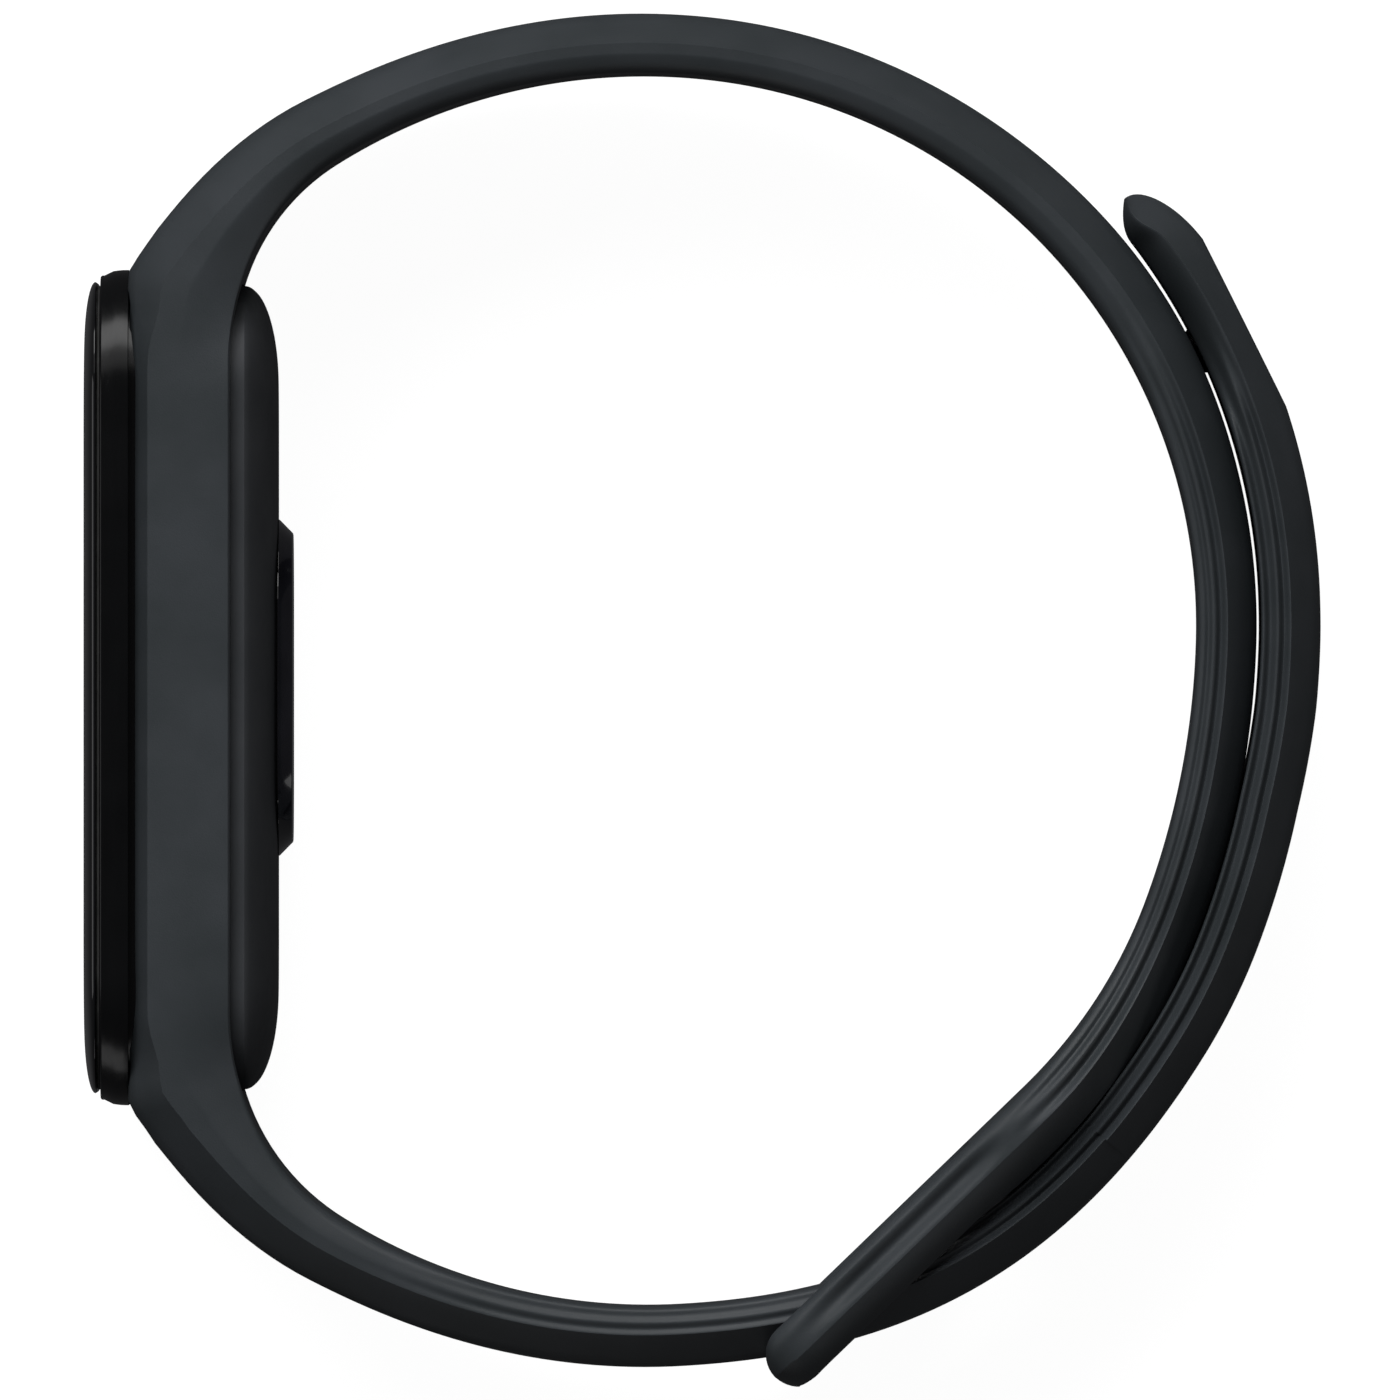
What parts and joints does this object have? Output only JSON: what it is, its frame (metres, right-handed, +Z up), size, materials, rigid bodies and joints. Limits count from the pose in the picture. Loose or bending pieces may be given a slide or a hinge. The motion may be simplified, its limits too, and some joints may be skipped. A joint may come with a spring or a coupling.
{
  "type": "fitness tracker band",
  "caption": "Wrist-worn fitness tracker: slim rounded capsule in a one-piece soft strap, fastened through an end loop with a snap stud.",
  "frame": {"origin": "centre of the bounding box, on the surface that the band lies on, on its side", "axes": "+X from the screen towards the clasp, +Y along the screen's length, +Z up across the band's width, parallel to the forearm"},
  "size_m": [0.0629, 0.0698, 0.0254],
  "materials": {
    "strap_rubber": "satin moulded elastomer with a very fine matte grain, cool near-black",
    "stud_metal": "black-coated metal, satin",
    "cover_glass": "polished black glass with a rounded edge",
    "gasket": "matt black seal",
    "display": "dark laminated display",
    "ribbon": "amber polyimide ribbon",
    "gloss_housing": "polished black plastic",
    "rear_plastic": "satin-gloss black plastic",
    "sensor_window": "dark transparent plastic, polished",
    "steel": "stamped stainless steel",
    "board": "green solder mask",
    "lamp": "clear encapsulated light",
    "chip": "black moulded chip package",
    "contact_gold": "gold-plated",
    "battery_foil": "laminated foil pouch"
  },
  "bodies": {
    "band": {"strap_frame": "strap_rubber", "upper_strap": "strap_rubber", "closure_loop": "strap_rubber", "lower_strap": "strap_rubber"},
    "tail_lower": {"tail_lower": "strap_rubber"},
    "tail_middle": {"tail_middle": "strap_rubber"},
    "tail_tip": {"tail_tip": "strap_rubber", "closure_stud": "stud_metal"},
    "capsule": {"cover_glass": "cover_glass", "display_gasket": "gasket", "display_panel": "display", "display_flex": "ribbon", "front_housing": "gloss_housing", "inner_bracket": "steel", "rear_gasket": "gasket", "rear_cover": "rear_plastic", "sensor_window": "sensor_window", "sensor_board": "board", "green_led_1": "lamp", "green_led_2": "lamp", "photodiode": "chip", "light_barrier": "gasket", "sensor_flex": "ribbon", "accelerometer_chip": "chip", "charging_contact_1": "contact_gold", "charging_contact_2": "contact_gold", "charger_magnet_1": "steel", "charger_magnet_2": "steel", "main_board": "board", "shield_can": "steel", "processor_chip": "chip", "bluetooth_antenna": "contact_gold", "battery_cell": "battery_foil", "battery_protection_board": "board", "vibration_motor_case": "steel", "vibration_motor_shaft": "steel", "vibration_motor_lid": "steel"},
    "motor_rotor": {"vibration_motor_rotor": "steel"}
  },
  "joints": [
    {"name": "tracker_release", "type": "slide", "parent": "band", "child": "capsule", "axis": [-1, 0, 0], "range_m": [0, 0.016]},
    {"name": "tail_base_flex", "type": "hinge", "parent": "band", "child": "tail_lower", "pos_m": [0.02174, -0.02342, 0.01271], "axis": [0, 0, -1], "range_deg": [0, 9], "stiffness_Nm_per_rad": 0.005},
    {"name": "tail_middle_flex", "type": "hinge", "parent": "tail_lower", "child": "tail_middle", "pos_m": [0.02832, -0.01263, 0.01271], "axis": [0, 0, -1], "range_deg": [0, 18], "stiffness_Nm_per_rad": 0.005},
    {"name": "tail_tip_flex", "type": "hinge", "parent": "tail_middle", "child": "tail_tip", "pos_m": [0.03123, 0.00026, 0.01271], "axis": [0, 0, -1], "range_deg": [0, 45], "stiffness_Nm_per_rad": 0.005},
    {"name": "vibration_motor_spin", "type": "hinge", "parent": "capsule", "child": "motor_rotor", "pos_m": [-0.02609, 0.01426, 0.01711], "axis": [1, 0, 0], "continuous": true}
  ],
  "couplings": [
    {"joint": "tail_base_flex", "follows": "tail_tip_flex", "ratio": 0.2},
    {"joint": "tail_middle_flex", "follows": "tail_tip_flex", "ratio": 0.4}
  ]
}
